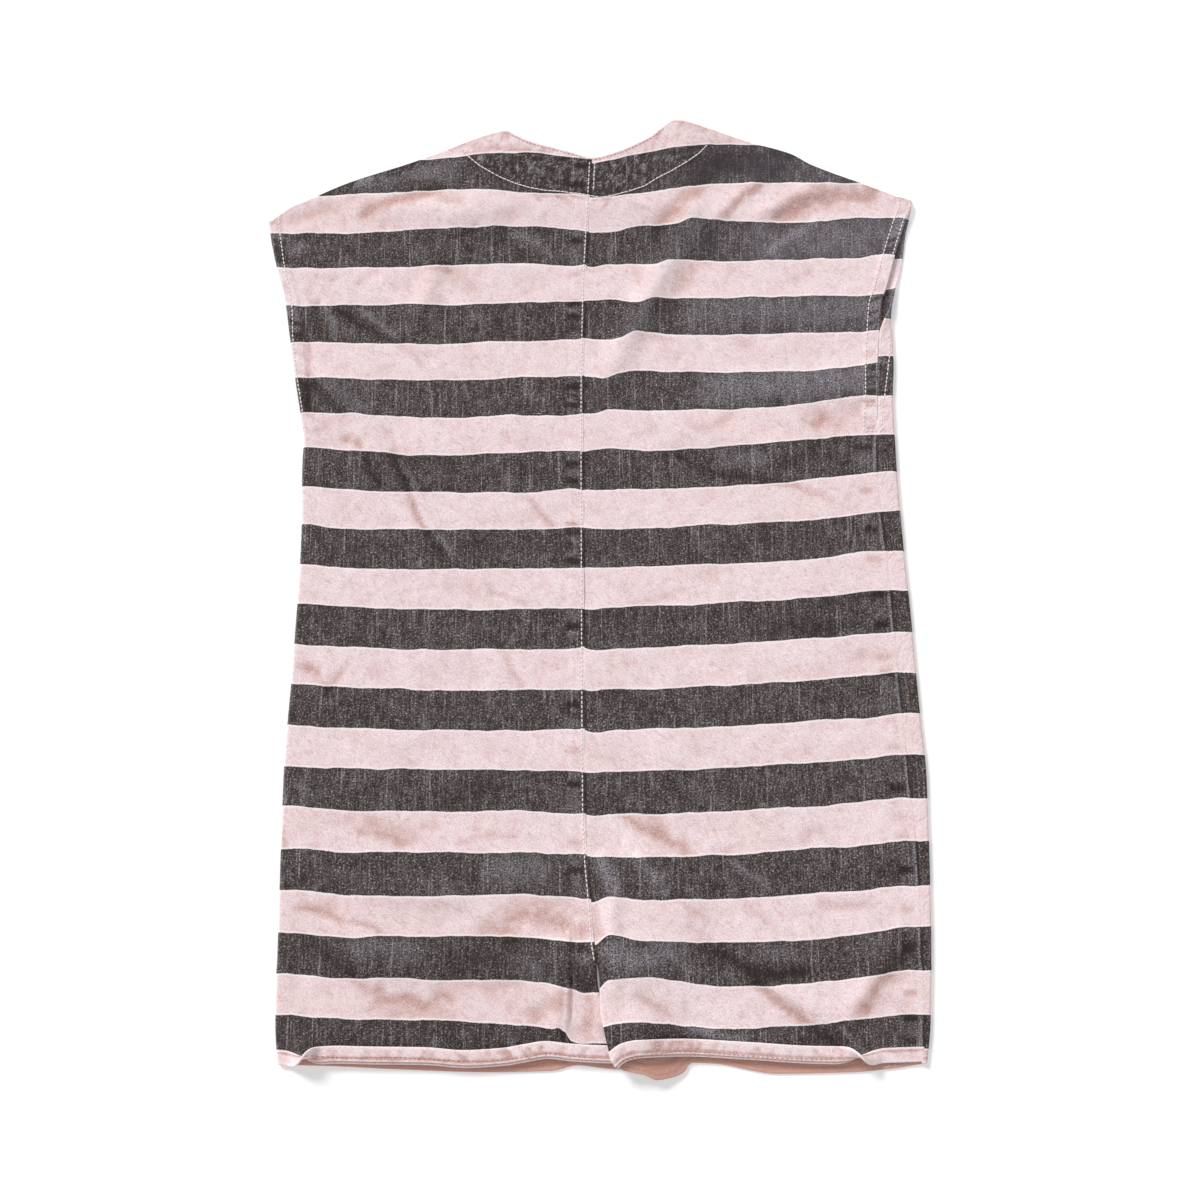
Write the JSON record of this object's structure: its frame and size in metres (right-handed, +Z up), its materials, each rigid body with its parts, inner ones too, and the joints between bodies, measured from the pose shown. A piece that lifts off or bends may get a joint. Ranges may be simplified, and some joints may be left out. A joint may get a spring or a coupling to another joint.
{
  "type": "romper",
  "caption": "Child's sleeveless striped romper with short legs, laid flat with its back up, rolled leg hems, a shallow V back neck and cap armholes.",
  "frame": {"origin": "middle of the garment's outline, on the surface it lies on", "axes": "+X to the garment's right edge as it lies back up, +Y up the body to the neck, +Z up off the surface"},
  "size_m": [0.4156, 0.602, 0.0147],
  "materials": {
    "back_cloth": "matt cotton twill, pale pink with wide charcoal stripes across",
    "front_cloth": "matt cotton twill, pale pink with wide charcoal stripes across",
    "facing_cloth": "matt cotton twill"
  },
  "bodies": {
    "root": {"back_left": "back_cloth", "back_right": "back_cloth", "front_left": "front_cloth", "front_right": "front_cloth", "back_neck_facing": "facing_cloth"}
  },
  "joints": []
}
